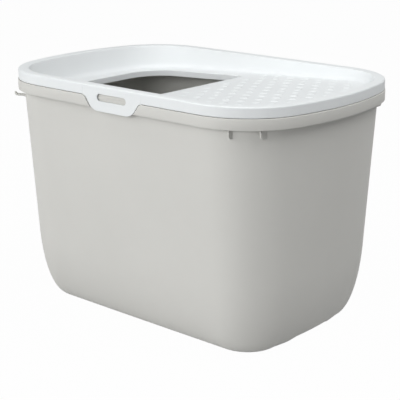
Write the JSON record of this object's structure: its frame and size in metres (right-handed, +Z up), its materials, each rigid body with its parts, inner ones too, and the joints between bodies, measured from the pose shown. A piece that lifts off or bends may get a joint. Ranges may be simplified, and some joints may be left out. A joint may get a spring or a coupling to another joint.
{
  "type": "top entry litter box",
  "caption": "Tall bowed litter bin with a dished lift-off lid, a rounded entry hole, a studded ramp and spring clips on its long sides.",
  "frame": {"origin": "middle of the footprint, on the floor the pads stand on", "axes": "+X along the long side away from the entry hole, +Y across toward the back long side, +Z up"},
  "size_m": [0.585, 0.3968, 0.394],
  "materials": {
    "bin_plastic": "warm light grey moulded plastic, fine satin",
    "lid_plastic": "cool white moulded plastic, satin",
    "pad_rubber": "dark non-slip rubber"
  },
  "bodies": {
    "bin": {"bin": "bin_plastic", "foot_pad_front_left": "pad_rubber", "foot_pad_front_right": "pad_rubber", "foot_pad_back_left": "pad_rubber", "foot_pad_back_right": "pad_rubber"},
    "lid": {"lid": "lid_plastic"},
    "front_clip": {"front_clip": "lid_plastic"},
    "back_clip": {"back_clip": "lid_plastic"}
  },
  "joints": [
    {"name": "lid_lift", "type": "slide", "parent": "bin", "child": "lid", "axis": [0, 0, 1], "range_m": [0, 0.08]},
    {"name": "front_clip_flex", "type": "hinge", "parent": "lid", "child": "front_clip", "pos_m": [0, -0.1975, 0.389], "axis": [-1, 0, 0], "range_deg": [0, 12], "stiffness_Nm_per_rad": 1.5},
    {"name": "back_clip_flex", "type": "hinge", "parent": "lid", "child": "back_clip", "pos_m": [0, 0.1975, 0.389], "axis": [1, 0, 0], "range_deg": [0, 12], "stiffness_Nm_per_rad": 1.5}
  ]
}
